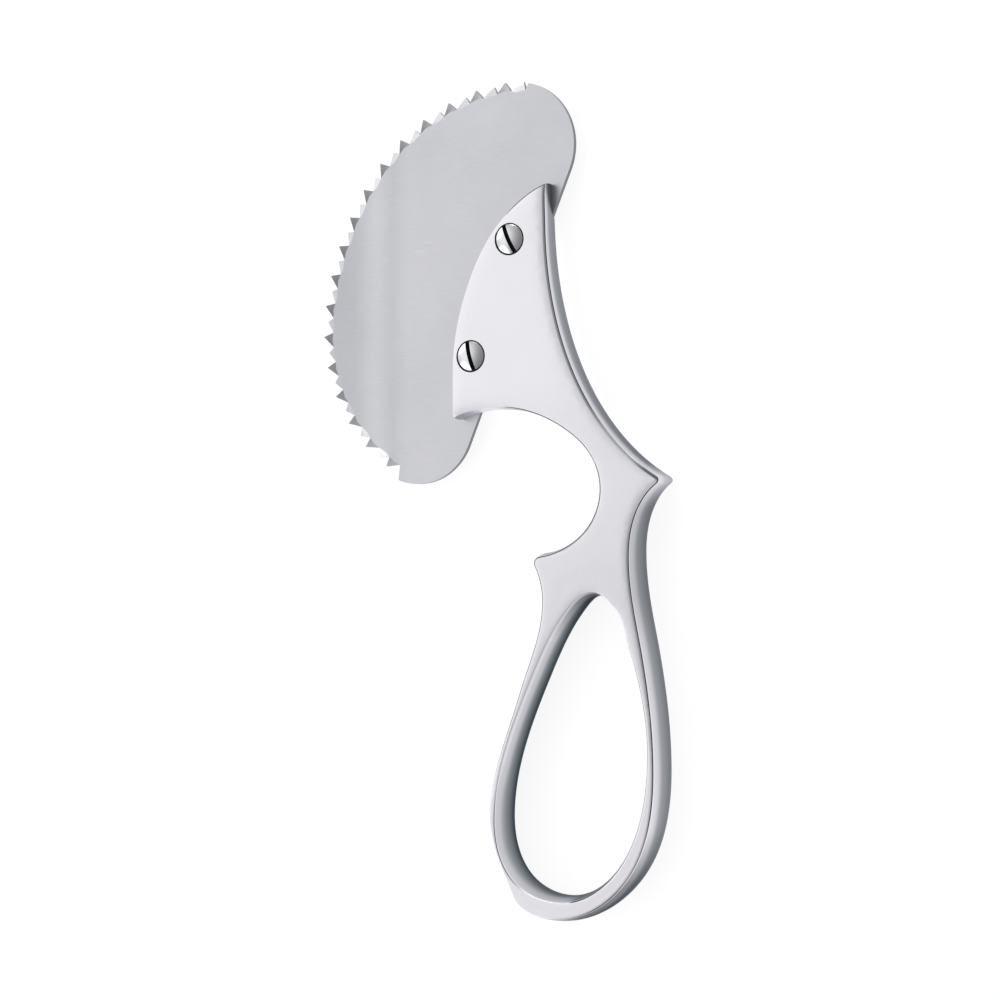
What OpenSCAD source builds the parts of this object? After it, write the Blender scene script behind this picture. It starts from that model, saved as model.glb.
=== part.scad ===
// Hand saw for opening plaster casts: a half-moon blade held by two screws behind the head of a
// forged steel handle with a finger gap, a palm spur and a drop-shaped loop.
// The saw lies on its back: X runs across it, Y along it and Z up through its thickness.
// Places are measured in the plane of the handle from the middle of the finger gap,
// heights from the parting plane of the forging, and the whole saw is then moved to its origin.

/* [Saw blade] */
// Thickness of the blade sheet
blade_t = 1.0; // [0.8:0.1:1.2]
// Length of the blade along its straight back
blade_len = 75.9; // [72:0.1:80]
// Depth of the blade from its back to the gullets of the middle teeth
blade_depth = 37.4; // [35:0.2:40]
// Radius of the rounded upper end of the blade
lobe_top_r = 11.7; // [10:0.1:13]
// Radius of the rounded lower end of the blade
lobe_low_r = 11.3; // [10:0.1:12]
// Lean of the straight back away from the length of the saw, in degrees
blade_lean = 22.5; // [18:0.5:26]
// Place of the middle of the back, across the saw
blade_x = -4.8; // [-5.2:0.1:-4]
// Distance from the middle of the back to the tip of the head, along the saw
blade_in = 21.7; // [20.5:0.1:23]

/* [Teeth] */
// Number of teeth
teeth_n = 34; // [24:1:40]
// Height of a tooth above its gullets
tooth_h = 1.7; // [1.2:0.1:2.6]
// Sideways set of each tooth tip, to either side in turn
tooth_set = 0.5; // [0.1:0.05:0.6]
// Thickness of a tooth at its filed tip
tooth_tip_t = 0.5; // [0.3:0.05:0.8]
// Lean of the teeth towards the upper end of the blade, in degrees
tooth_rake = 21; // [0:1:28]
// Share by which the pitch is greater than its mean at the upper end and smaller at the lower end
pitch_taper = 0.035; // [0:0.005:0.08]
// Radius of the gullet line in the middle of the edge
edge_mid_r = 50.5; // [48:0.5:54]
// Radius of the gullet line at the upper end
edge_top_r = 37.5; // [35:0.5:40]
// Radius of the gullet line at the lower end
edge_low_r = 28.8; // [27:0.2:31]

/* [Handle] */
// Reach of the head beyond the middle of the finger gap
head_len = 53; // [51:0.5:56]
// Place of the toothed side of the head, left of the middle of the gap
head_left = 16.5; // [15.5:0.1:18]
// Place of the plain side of the head, right of the middle of the gap
head_right = 2.1; // [1.6:0.1:2.5]
// Height of the finger gap between the head and the beak
gap_h = 26; // [24:0.2:28]
// Depth of the finger gap from its middle
gap_d = 12.7; // [11.5:0.1:14]
// Reach of the palm spur, right of the middle of the gap
spur_reach = 25.9; // [25:0.1:28]
// Reach of the loop below the middle of the finger gap
loop_reach = 77.6; // [75:0.2:80]
// Outer width of the loop
loop_w = 33.3; // [32:0.1:36]
// Width of the limbs of the loop
limb_w = 2.6; // [2.4:0.1:3.4]
// Width of the bottom of the loop
bottom_w = 4.4; // [3.6:0.1:5]

/* [Thickness] */
// Thickness of the loop and the spur, where it is greatest
body_t = 8.2; // [7.8:0.1:8.8]
// Thickness of the neck beside the top of the finger gap
neck_t = 6.5; // [6:0.1:7.2]
// Thickness at the tip of the head, blade included
head_t = 4.2; // [3.8:0.1:4.8]
// Height of the parting plane above the flat back
back_h = 4; // [3.6:0.1:4.4]
// How far the crowned sides draw in from the parting plane to the flat back
crown = 0.7; // [0.4:0.1:1]

/* [Screws and nuts] */
// Distance between the two screws along the blade's back
screw_span = 22; // [20:0.2:24]
// Distance of the upper screw from the blade's back
screw_top_in = 4.8; // [4.2:0.1:6]
// Distance of the lower screw from the blade's back
screw_low_in = 3.9; // [3.8:0.1:5]
// Diameter of the screw thread
thread_d = 3; // [2.5:0.1:3.2]
// Diameter of the raised countersunk head
screw_head_d = 5.5; // [5:0.1:6]
// Height of the dome of the head
dome_h = 0.7; // [0.4:0.05:0.9]
// Width of the screwdriver slot
slot_w = 0.8; // [0.6:0.1:1]
// Depth of the screwdriver slot below the rim
slot_d = 0.6; // [0.4:0.1:0.9]
// Width of a nut across its flats
nut_w = 5.5; // [5:0.1:6]
// Thickness of a nut
nut_t = 1.8; // [1.2:0.1:1.8]

/* [Clearances] */
// Gap between the blade's back and the shoulder that it butts on
shoulder_gap = 0.1; // [0.05:0.05:0.3]
// Gap around a screw in the handle and in the blade, on each side
hole_gap = 0.1; // [0.05:0.05:0.2]
// Gap around a screw in its nut, on each side
thread_gap = 0.03; // [0.02:0.01:0.05]
// Depth of the rim of a screw head below the face of the handle
head_sink = 0.15; // [0.1:0.05:0.3]

/* [Hidden] */

$fn = 64;
eps = 0.01;
far = 200;
arc_step = 6;
longest_chord = 4;
loft_steps = 3;

upper = 1;
lower = -1;

// Vectors and angles in the plane
function dir(a) = [cos(a), sin(a)];
function turn(a, b) = ((b - a + 540) % 360) - 180;
function unit(v) = v / norm(v);
function heading(v) = atan2(v[1], v[0]);
function spun(p, a) = [p[0] * cos(a) - p[1] * sin(a), p[0] * sin(a) + p[1] * cos(a)];

// An outline is a closed ring of knots, each with its place and its headings in and out.
// Two knots are joined by the curve that leaves and meets them along these headings.
function smooth(p, a) = [p, a, a];
function corner(p, a, b) = [p, a, b];
function fillet(p, a, b, r) =
    let (t = r * tan(abs(turn(a, b)) / 2)) [smooth(p - t * dir(a), a), smooth(p + t * dir(b), b)];
function span(k, m) =
    let (c = m[0] - k[0],
         bend = abs(turn(k[2], heading(c))) + abs(turn(heading(c), m[1])),
         n = max(ceil(bend / arc_step), ceil(norm(c) / longest_chord)),
         h = norm(c) / 3 / pow(cos(turn(k[2], m[1]) / 4), 2),
         q = [k[0], k[0] + h * dir(k[2]), m[0] - h * dir(m[1]), m[0]])
    [for (i = [0:n - 1]) let (t = i / n, u = 1 - t)
        u * u * u * q[0] + 3 * u * u * t * q[1] + 3 * u * t * t * q[2] + t * t * t * q[3]];
function ring(knots) =
    [for (i = [0:len(knots) - 1]) each span(knots[i], knots[(i + 1) % len(knots)])];

// The same ring drawn in by d, to the left of its direction of travel
function drawn_in(r, d) =
    [for (n = len(r), i = [0:n - 1])
        let (a = spun(unit(r[i] - r[(i + n - 1) % n]), 90), b = spun(unit(r[(i + 1) % n] - r[i]), 90))
        r[i] + d * (a + b) / (1 + a * b)];

// Outline of the handle at the parting plane, with the metal on the left of the travel
gap_top = gap_h / 2;
loop_left = -8.9;
loop_right = loop_left + loop_w;
handle_knots = [
    corner([head_right - 0.2, head_len], 89, 201),
    smooth([3.5 - head_left, head_len - 16.2], 248),
    smooth([-head_left, 21], 269),
    corner([-head_left, gap_top - 1], 270, 300),
    corner([0.4 - head_left, gap_top - 1.7], 300, 24),
    smooth([-6.1, gap_top], 358),
    smooth([gap_d - 5, gap_top - 5.2], 323),
    smooth([gap_d, -1.2], 271),
    smooth([gap_d - 3.3, 4.1 - gap_top], 223),
    each fillet([-0.9, -gap_top], 189, 298, 1.8),
    smooth([1.7, -20.9], 271),
    smooth([6.2 + loop_left, 40.4 - loop_reach], 252),
    smooth([0.1 + loop_left, 19.9 - loop_reach], 263),
    smooth([4.7 + loop_left, 3.9 - loop_reach], 294),
    smooth([14 + loop_left, -loop_reach], 2),
    smooth([loop_right - 6.1, 6.8 - loop_reach], 49),
    smooth([loop_right, 27.1 - loop_reach], 90),
    smooth([loop_right - 3, 51.7 - loop_reach], 102),
    smooth([19.6, -11.7], 89),
    each fillet([spur_reach, 0.4], 38, 150, 1.6),
    smooth([head_right, 45], 92)];
handle_ring = ring(handle_knots);

// Outline of the loop opening at the parting plane, also with the metal on the left of the travel
opening_left = loop_left + limb_w;
opening_right = loop_right - limb_w;
opening_low = bottom_w - loop_reach;
opening_knots = [
    smooth([12.2, 57.6 - loop_reach], 0),
    smooth([15.6, 55.3 - loop_reach], 320),
    smooth([opening_right - 3.2, 48 - loop_reach], 289),
    smooth([opening_right, opening_low + 23.5], 267),
    smooth([opening_right - 5.3, opening_low + 6.3], 233),
    smooth([opening_left + 11.6, opening_low], 180),
    smooth([opening_left + 2.6, opening_low + 4], 127),
    smooth([opening_left, opening_low + 14], 88),
    smooth([opening_left + 6.9, 41.9 - loop_reach], 66),
    smooth([7.3, 54.1 - loop_reach], 52)];
opening_ring = ring(opening_knots);

// Side view of the handle: the back is flat up to its knee and tapers to the head,
// the front is level up to its crest, falls to the neck and then tapers to the head
back_knee = -3;
front_crest = -12;
neck_y = 8;
past_head = head_len + 5;
past_loop = -loop_reach - 5;
half_head = head_t / 2;
back_rise = (back_h - half_head) / (head_len - back_knee);
front_top = body_t - back_h;
neck_front = neck_t - back_h + back_rise * (neck_y - back_knee);
front_fall = (neck_front - half_head) / (head_len - neck_y);
back_line = [
    [past_loop, -back_h],
    [back_knee, -back_h],
    [past_head, back_rise * (past_head - back_knee) - back_h]];
front_line = [
    [past_head, half_head - front_fall * (past_head - head_len)],
    [neck_y, neck_front],
    [front_crest, front_top],
    [past_loop, front_top]];
function front_z(y) = lookup(y, front_line);

// Heights in the head: the blade lies flush with the back of the tip, under the cheek
blade_low = -half_head;
blade_top = blade_low + blade_t;

// Gullet line of the blade: three arcs that run into each other, measured from the middle of the back
mid_sweep = 27;
top_sweep = 55.8;
low_sweep = 67.4;
mid_start = 167.8;
top_start = mid_start - top_sweep;
low_start = mid_start + mid_sweep;
mid_centre = [edge_mid_r - blade_depth, -1.1];
top_centre = mid_centre + (edge_mid_r - edge_top_r) * dir(mid_start);
low_centre = mid_centre + (edge_mid_r - edge_low_r) * dir(low_start);
top_arc = edge_top_r * top_sweep * PI / 180;
mid_arc = edge_mid_r * mid_sweep * PI / 180;
low_arc = edge_low_r * low_sweep * PI / 180;

function on_arc(c, r, start, s, out) = c + (r + out) * dir(start + s / r * 180 / PI);
function edge_at(s, out) =
    s < top_arc ? on_arc(top_centre, edge_top_r, top_start, s, out)
    : s < top_arc + mid_arc ? on_arc(mid_centre, edge_mid_r, mid_start, s - top_arc, out)
    : on_arc(low_centre, edge_low_r, low_start, s - top_arc - mid_arc, out);

// Distance from the upper end of the line to tooth i, or between two teeth where i has a fraction
function tooth_place(i) =
    let (part = i / teeth_n) (top_arc + mid_arc + low_arc) * (part + pitch_taper * part * (1 - part));

gullets = [for (i = [0:teeth_n]) edge_at(tooth_place(i), 0)];
tips = [for (i = [0:teeth_n - 1]) edge_at(tooth_place(i + 0.5) - tooth_h * tan(tooth_rake), tooth_h)];

// Plain edge of the blade: rounded lower end, straight back, rounded upper end
lobe_step = 6;
low_lobe_end = -88.5;
top_lobe_end = 99;
low_lobe_y = lobe_low_r - blade_len / 2;
top_lobe_y = blade_len / 2 - lobe_top_r;
low_lobe = [for (n = ceil(-low_lobe_end / lobe_step), i = [0:n])
    [-lobe_low_r, low_lobe_y] + lobe_low_r * dir(low_lobe_end * (1 - i / n))];
top_lobe = [for (n = ceil(top_lobe_end / lobe_step), i = [0:n])
    [-lobe_top_r, top_lobe_y] + lobe_top_r * dir(top_lobe_end * i / n)];
plain_edge = concat(low_lobe, [[0, 0]], top_lobe);

// Places in the saw of what is measured from the middle of the blade's back
back_middle = [blade_x, head_len - blade_in];
function on_saw(p) = back_middle + spun(p, -blade_lean);
function screw_at(end) =
    on_saw([end == upper ? -screw_top_in : -screw_low_in, end * screw_span / 2]);

// Origin: middle of the whole saw in plan, at the height of the flat back
plan_points = concat(handle_ring, [for (p = concat(tips, top_lobe)) on_saw(p)]);
xs = [for (p = plan_points) p[0]];
ys = [for (p = plan_points) p[1]];
origin = [(min(xs) + max(xs)) / 2, (min(ys) + max(ys)) / 2, -back_h];

// Rings of points stacked by height, joined into one closed skin
function strip(n, low, high) =
    [for (i = [0:n - 1]) let (k = (i + 1) % n) [low + i, high + i, high + k, low + k]];
function turned_over(faces) = [for (f = faces) [for (i = [len(f) - 1:-1:0]) f[i]]];
function shifted(faces, d) = [for (f = faces) [for (k = f) k + d]];

// Solid whose sides bulge to the parting plane: the ring is drawn in further from it above and below.
// An opening's ring runs the other way round, so its skin is turned over.
module crowned(outline, opening = false) {
    n = len(outline);
    half = max(back_h, front_top) + 0.1;
    levels = [for (j = [-loft_steps:loft_steps]) half * j / loft_steps];
    points = [for (z = levels, p = drawn_in(outline, crown * pow(z / back_h, 2))) [p[0], p[1], z]];
    sides = [for (j = [0:len(levels) - 2]) each strip(n, j * n, (j + 1) * n)];
    cap = [for (i = [0:n - 1]) i];
    skin = concat(sides, [cap], turned_over(shifted([cap], (len(levels) - 1) * n)));
    polyhedron(points, opening ? turned_over(skin) : skin, 3);
}

module side_slab() {
    rotate([90, 0, 90]) linear_extrude(2 * far, center = true) polygon(concat(back_line, front_line));
}

// The forging before it is machined
module forging() {
    resize([0, 0, body_t]) intersection() {
        difference() {
            crowned(handle_ring);
            crowned(opening_ring, opening = true);
        }
        side_slab();
    }
}

// Rebate milled into the back of the head, as deep as the blade's upper side,
// with a shoulder along the blade's back
module blade_rebate() {
    translate(concat(back_middle, blade_top - far)) rotate(-blade_lean)
        translate([shoulder_gap - far, -far, 0]) cube([far, 2 * far, far]);
}

module screw_seat(end) {
    at = screw_at(end);
    rim = front_z(at[1]) - head_sink;
    hole = thread_d + 2 * hole_gap;
    seat = screw_head_d + 2 * hole_gap;
    translate([at[0], at[1], rim]) {
        translate([0, 0, -far]) cylinder(d = hole, h = far);
        translate([0, 0, (hole - seat) / 2]) cylinder(d1 = hole, d2 = seat, h = (seat - hole) / 2);
        cylinder(d = seat, h = far);
    }
}

module handle() {
    color("gainsboro") translate(-origin) difference() {
        forging();
        blade_rebate();
        screw_seat(upper);
        screw_seat(lower);
    }
}

// One skin: a fan over the plate from the middle of its back, and a bent, thinned triangle per tooth
module saw_blade() {
    n = 2 * teeth_n + 1 + len(plain_edge);
    back = 2 * teeth_n + 1 + len(low_lobe);
    side = [for (i = [0:teeth_n - 1]) i % 2 == 0 ? -1 : 1];
    thinned = blade_t - tooth_tip_t;
    function rim(z) = [for (p = plain_edge) [p[0], p[1], z]];
    function gullet(i, z) = [gullets[i][0], gullets[i][1], z];
    function tip(i, z) = [tips[i][0], tips[i][1], z];
    low_ring = concat(
        [for (i = [0:teeth_n - 1]) each
            [gullet(i, 0), tip(i, side[i] > 0 ? tooth_set + thinned : -tooth_set)]],
        [gullet(teeth_n, 0)], rim(0));
    high_ring = concat(
        [for (i = [0:teeth_n - 1]) each
            [gullet(i, blade_t), tip(i, blade_t + (side[i] > 0 ? tooth_set : -tooth_set - thinned))]],
        [gullet(teeth_n, blade_t)], rim(blade_t));
    plate = concat([for (k = [back:n - 1]) k], [for (i = [0:teeth_n]) 2 * i],
        [for (k = [2 * teeth_n + 1:back - 1]) k]);
    fan = [for (k = [1:len(plate) - 2]) [plate[0], plate[k], plate[k + 1]]];
    teeth = [for (i = [0:teeth_n - 1]) [2 * i, 2 * i + 1, 2 * i + 2]];
    low_faces = concat(fan, teeth);
    color("silver") translate(-origin) difference() {
        translate(concat(back_middle, blade_low)) rotate(-blade_lean)
            polyhedron(concat(low_ring, high_ring),
                concat(low_faces, strip(n, 0, n), turned_over(shifted(low_faces, n))), 3);
        for (end = [upper, lower])
            translate([screw_at(end)[0], screw_at(end)[1], blade_low - far])
                cylinder(d = thread_d + 2 * hole_gap, h = 2 * far);
    }
}

// Slotted screw with a raised countersunk head, its end filed flush with the nut
module screw(end, slot_heading) {
    at = screw_at(end);
    rim = front_z(at[1]) - head_sink;
    cone_h = (screw_head_d - thread_d) / 2;
    dome_r = (pow(screw_head_d / 2, 2) + pow(dome_h, 2)) / 2 / dome_h;
    length = rim - blade_low + nut_t;
    translate([at[0], at[1], rim]) difference() {
        union() {
            translate([0, 0, -length]) cylinder(d = thread_d, h = length);
            translate([0, 0, -cone_h]) cylinder(d1 = thread_d, d2 = screw_head_d, h = cone_h);
            intersection() {
                translate([0, 0, dome_h - dome_r]) sphere(r = dome_r);
                cylinder(d = screw_head_d, h = dome_h + eps);
            }
        }
        rotate(slot_heading) translate([-far / 2, -slot_w / 2, -slot_d]) cube([far, slot_w, far]);
    }
}

module upper_screw() { color("whitesmoke") translate(-origin) screw(upper, 115); }
module lower_screw() { color("whitesmoke") translate(-origin) screw(lower, 105); }

// Thin hexagonal nut against the back of the blade
module nut(end, flat_heading) {
    at = screw_at(end);
    translate([at[0], at[1], blade_low - nut_t]) rotate(flat_heading) difference() {
        cylinder(d = nut_w / cos(30), h = nut_t, $fn = 6);
        translate([0, 0, -eps]) cylinder(d = thread_d + 2 * thread_gap, h = nut_t + 2 * eps);
    }
}

module upper_nut() { color("silver") translate(-origin) nut(upper, 12); }
module lower_nut() { color("silver") translate(-origin) nut(lower, 40); }

handle();
saw_blade();
upper_screw();
lower_screw();
upper_nut();
lower_nut();
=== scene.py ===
import math

import bpy
import numpy as np
from mathutils import Matrix, Vector
from mathutils.geometry import delaunay_2d_cdt


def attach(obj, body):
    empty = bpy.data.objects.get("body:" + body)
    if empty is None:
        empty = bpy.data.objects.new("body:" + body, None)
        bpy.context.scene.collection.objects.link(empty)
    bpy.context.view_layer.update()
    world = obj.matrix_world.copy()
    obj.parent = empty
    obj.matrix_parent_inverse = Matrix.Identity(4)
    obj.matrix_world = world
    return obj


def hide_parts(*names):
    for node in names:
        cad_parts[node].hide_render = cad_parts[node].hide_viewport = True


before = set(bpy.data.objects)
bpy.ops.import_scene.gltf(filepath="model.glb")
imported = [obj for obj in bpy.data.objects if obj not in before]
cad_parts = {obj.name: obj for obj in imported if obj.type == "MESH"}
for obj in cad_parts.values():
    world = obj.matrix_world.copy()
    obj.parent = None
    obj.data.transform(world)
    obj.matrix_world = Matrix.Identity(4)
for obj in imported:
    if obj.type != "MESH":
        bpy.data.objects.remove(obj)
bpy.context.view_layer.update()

# Forged handle: one drop forging of stainless steel, with a cheek for the blade, a finger gap,
# a palm spur and a drop-shaped loop. Its sides keep the soft crown of the die, its front is
# ground flat and satin finished, and the edges between them are broken by hand.

# Places in the plane are measured in millimetres from the middle of the finger gap,
# and heights from the parting plane of the forging
saw_origin = np.array([-10.23, -2.873, -4.0])   # the frame's origin in these measures
back_h = 4.0                                    # depth of the flat back
crown = 0.7                                     # how far a side draws in at that depth
head_tip, neck, body = 53.0, 8, -12             # where the front changes its slope
tip_half, neck_front, body_front = 2.1, 2.873, 4.2
back_bend = -3                                  # where the back starts to rise to the tip


def heading_to(degrees):
    return np.array([math.cos(math.radians(degrees)), math.sin(math.radians(degrees))])


def turned(a, b):
    """Angle from heading a to heading b, the short way round."""
    return (b - a + 540) % 360 - 180


def smooth(x, y, a):
    """A knot of an outline that is passed at heading a."""
    return [((x, y), a, a)]


def corner(x, y, a, b):
    """A knot that is reached at heading a and left at heading b."""
    return [((x, y), a, b)]


def rounded(place, a, b, radius):
    """Two knots that round the corner between headings a and b."""
    back = radius * math.tan(math.radians(abs(turned(a, b))) / 2)
    place = np.array(place)
    return [(place - back * heading_to(a), a, a), (place + back * heading_to(b), b, b)]


def outline(knots, bend_step=3, chord=0.7):
    """Closed ring of points through knots, each with its place and its headings in and out."""
    ring = []
    for (p, _, a), (q, b, _) in zip(knots, knots[1:] + knots[:1]):
        p, q = np.array(p, float), np.array(q, float)
        to = q - p
        way = math.degrees(math.atan2(to[1], to[0]))
        bend = abs(turned(a, way)) + abs(turned(way, b))
        n = max(math.ceil(bend / bend_step), math.ceil(np.hypot(*to) / chord))
        reach = np.hypot(*to) / 3 / math.cos(math.radians(turned(a, b) / 4)) ** 2
        hull = [p, p + reach * heading_to(a), q - reach * heading_to(b), q]
        for i in range(n):
            t = i / n
            weights = (1 - t) ** 3, 3 * t * (1 - t) ** 2, 3 * t * t * (1 - t), t ** 3
            ring.append(sum(w * h for w, h in zip(weights, hull)))
    return np.array(ring)


# Round the outside from the tip: toothed side of the head, finger gap, beak, loop and spur
handle_ring = outline(
    corner(1.9, 53, 89, 201) + smooth(-13, 36.8, 248) + smooth(-16.5, 21, 269)
    + corner(-16.5, 12, 270, 300) + corner(-16.1, 11.3, 300, 24) + smooth(-6.1, 13, 358)
    + smooth(7.7, 7.8, 323) + smooth(12.7, -1.2, 271) + smooth(9.4, -8.9, 223)
    + rounded((-0.9, -13), 189, 298, 1.8) + smooth(1.7, -20.9, 271) + smooth(-2.7, -37.2, 252)
    + smooth(-8.8, -57.7, 263) + smooth(-4.2, -73.7, 294) + smooth(5.1, -77.6, 2)
    + smooth(18.3, -70.8, 49) + smooth(24.4, -50.5, 90) + smooth(21.4, -25.9, 102)
    + smooth(19.6, -11.7, 89) + rounded((25.54, 0.4), 38, 150, 1.15) + smooth(2.1, 45, 92))
# Round the inside of the loop the other way, so that the metal lies on the left here too
loop_ring = outline(
    smooth(12.2, -20, 0) + smooth(15.6, -22.3, 320) + smooth(18.6, -29.6, 289)
    + smooth(21.8, -49.7, 267) + smooth(16.5, -66.9, 233) + smooth(5.3, -73.2, 180)
    + smooth(-3.7, -69.2, 127) + smooth(-6.3, -59.2, 88) + smooth(0.6, -35.7, 66)
    + smooth(7.3, -23.5, 52))


def inward(ring):
    """Unit vectors from the points of a ring into the metal on its left, longer at corners."""
    before, after = ring - np.roll(ring, 1, 0), np.roll(ring, -1, 0) - ring
    before /= np.linalg.norm(before, axis=1)[:, None]
    after /= np.linalg.norm(after, axis=1)[:, None]
    a, b = before @ [[0, 1], [-1, 0]], after @ [[0, 1], [-1, 0]]
    return (a + b) / (1 + (a * b).sum(1))[:, None]


def front_height(y, blend=7.0):
    """Front of the handle along the saw, its changes of slope eased over a few millimetres."""
    rows = [y + blend * s for s in (-1, -0.5, 0, 0.5, 1)]
    line = [np.interp(r, [body, neck, head_tip], [body_front, neck_front, tip_half])
            for r in rows]
    return (line[0] + 2 * line[1] + 2 * line[2] + 2 * line[3] + line[4]) / 8


def back_height(y):
    return np.interp(y, [back_bend, head_tip], [-back_h, -tip_half])


def drawn_in(height):
    """How far the crowned side has drawn in at a height above or below the parting plane."""
    return crown * (height / back_h) ** 2


def edge_gaps(points, starts, ways, batch=400):
    """Distances from points to straight edges, for one batch of the points after another."""
    for i in range(0, len(points), batch):
        p = points[i:i + batch, None]
        t = np.clip(((p - starts) * ways).sum(2) / (ways * ways).sum(1), 0, 1)
        yield slice(i, i + batch), np.hypot(*np.moveaxis(p - starts - t[..., None] * ways, 2, 0))


def distance_to(points, rings):
    """Distance of each point to the nearest edge of the rings."""
    near = np.full(len(points), np.inf)
    for ring in rings:
        for part, gaps in edge_gaps(points, ring, np.roll(ring, -1, 0) - ring):
            near[part] = np.minimum(near[part], gaps.min(1))
    return near


def inside(points, ring):
    """Whether each point lies in a ring, by the edges that it sees to its right."""
    x, y = points[:, 0, None], points[:, 1, None]
    (ax, ay), (bx, by) = ring.T, np.roll(ring, -1, 0).T
    crossing = (ay > y) != (by > y)
    with np.errstate(divide="ignore", invalid="ignore"):
        at = ax + (y - ay) * (bx - ax) / (by - ay)
    return (crossing & (x < at)).sum(1) % 2 == 1


def on_metal(points, outer, holes):
    """Whether each point lies in the outer ring and in none of the holes."""
    found = inside(points, outer)
    for hole in holes:
        found &= ~inside(points, hole)
    return found


def face_points(outer, holes, rows, grid):
    """Points that fill a flat face: rows that follow its edges closely, and a coarse grid."""
    rings = [outer] + holes
    ring_step, crowded = 0.5, 0.93       # the points of a row thin out as it goes in, and those
    found = []                           # that a corner crowds against another edge are left out
    for row in rows:
        for ring in rings:
            p = (ring + row * inward(ring))[::max(1, round(row / ring_step))]
            found.append(p[distance_to(p, rings) > crowded * row])
    low, high = outer.min(0), outer.max(0)
    p = np.array([(x, y) for x in np.arange(low[0], high[0], grid)
                  for y in np.arange(low[1], high[1], grid)])
    p = p[inside(p, outer)]
    found.append(p[distance_to(p, rings) > rows[-1] + grid / 2])
    found = np.vstack(found)
    return found[on_metal(found, outer, holes)]


def face_triangles(outer, holes, fill, same_point=1e-6, least_area=1e-9):
    """Triangles over a flat face, as indices into its rings' points followed by the fill."""
    rings = [outer] + holes
    points = np.vstack(rings + [fill])
    edges, start = [], 0
    for ring in rings:
        n = len(ring)
        edges += [(start + i, start + (i + 1) % n) for i in range(n)]
        start += n
    _, _, faces, source, _, _ = delaunay_2d_cdt([Vector(p) for p in points], edges, [], 0,
                                                same_point)
    index = [s[0] if s else -1 for s in source]
    tris = np.array([[index[k] for k in f] for f in faces])
    tris = tris[(tris >= 0).all(1)]
    tris = tris[on_metal(points[tris].mean(1), outer, holes)]
    a, b, c = points[tris[:, 0]], points[tris[:, 1]], points[tris[:, 2]]
    area = (b - a)[:, 0] * (c - a)[:, 1] - (b - a)[:, 1] * (c - a)[:, 0]
    tris, area = tris[np.abs(area) > least_area], area[np.abs(area) > least_area]
    tris[area < 0] = tris[area < 0][:, ::-1]
    return tris.tolist()


def roll_off(points, rings):
    """How far the mopped front has dropped at each point: the wheel came from the left, and took
    more off the edges that face right than off the others."""
    right_slope, left_slope, loop_share = 0.11, 0.03, 0.25
    starts = np.vstack(rings)
    ways = np.vstack([np.roll(ring, -1, 0) for ring in rings]) - starts
    way_up = (ways / np.linalg.norm(ways, axis=1)[:, None])[:, 1]
    faces_right = np.clip(way_up / 0.6 + 0.4, 0, 1)      # an edge that runs up the saw faces right
    faces_right[len(rings[0]):] *= loop_share            # the wheel hardly reached into the loop
    width = np.interp(points[:, 1], [-68, -50, -30, 20], [0.3, 0.5, 1.1, 2.3])
    drop = np.zeros(len(points))
    for weights, slope in ((faces_right, right_slope), (1 - faces_right, left_slope)):
        used = weights > 0
        for part, gaps in edge_gaps(points, starts[used], ways[used]):
            near = np.clip(1 - gaps.min(1) / width[part], 0, 1)
            drop[part] += slope * width[part] * weights[used][gaps.argmin(1)] * near ** 2
    return drop


def edge_radius(ring):
    """Radius of the broken edge at each point of a ring: largest where the handle faces left,
    small in the loop, and next to nothing on the cheek over the blade."""
    x, y = ring.T
    faces_left = np.clip(inward(ring)[:, 0], 0, 1) * np.interp(x, [-9, -4], [0, 1])
    left_edge, right_edge, cheek_edge = np.interp(y, [-25, -10], [0.24, 0.4]), 0.21, 0.08
    if ring is loop_ring:
        low_right = np.interp(x, [3, 9], [0, 1]) * np.interp(y, [-66, -60], [1, 0])
        left_edge, right_edge = 0.2, np.interp(y, [-60, -52], [0.14, 0.07]) + 0.2 * low_right
    radius = right_edge + (left_edge - right_edge) * faces_left
    radius[(y > 10) & (x < -6)] = cheek_edge
    return radius


def broken_edge(face, to_side, radius, angles):
    """Levels round a broken edge, each with its height, how far it lies in from the side, and
    the height at which the edge meets the side."""
    return [(face + to_side * radius * (1 - math.sin(math.radians(a))),
             radius * (1 - math.cos(math.radians(a))), face + to_side * radius) for a in angles]


def solid(name, points, faces):
    """Mesh object from points in saw millimetres, in the frame's metres."""
    mesh = bpy.data.meshes.new(name)
    mesh.from_pydata([Vector(np.array(p) - saw_origin) / 1000 for p in points], [], faces)
    mesh.validate()
    obj = bpy.data.objects.new(name, mesh)
    bpy.context.scene.collection.objects.link(obj)
    return obj


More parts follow.
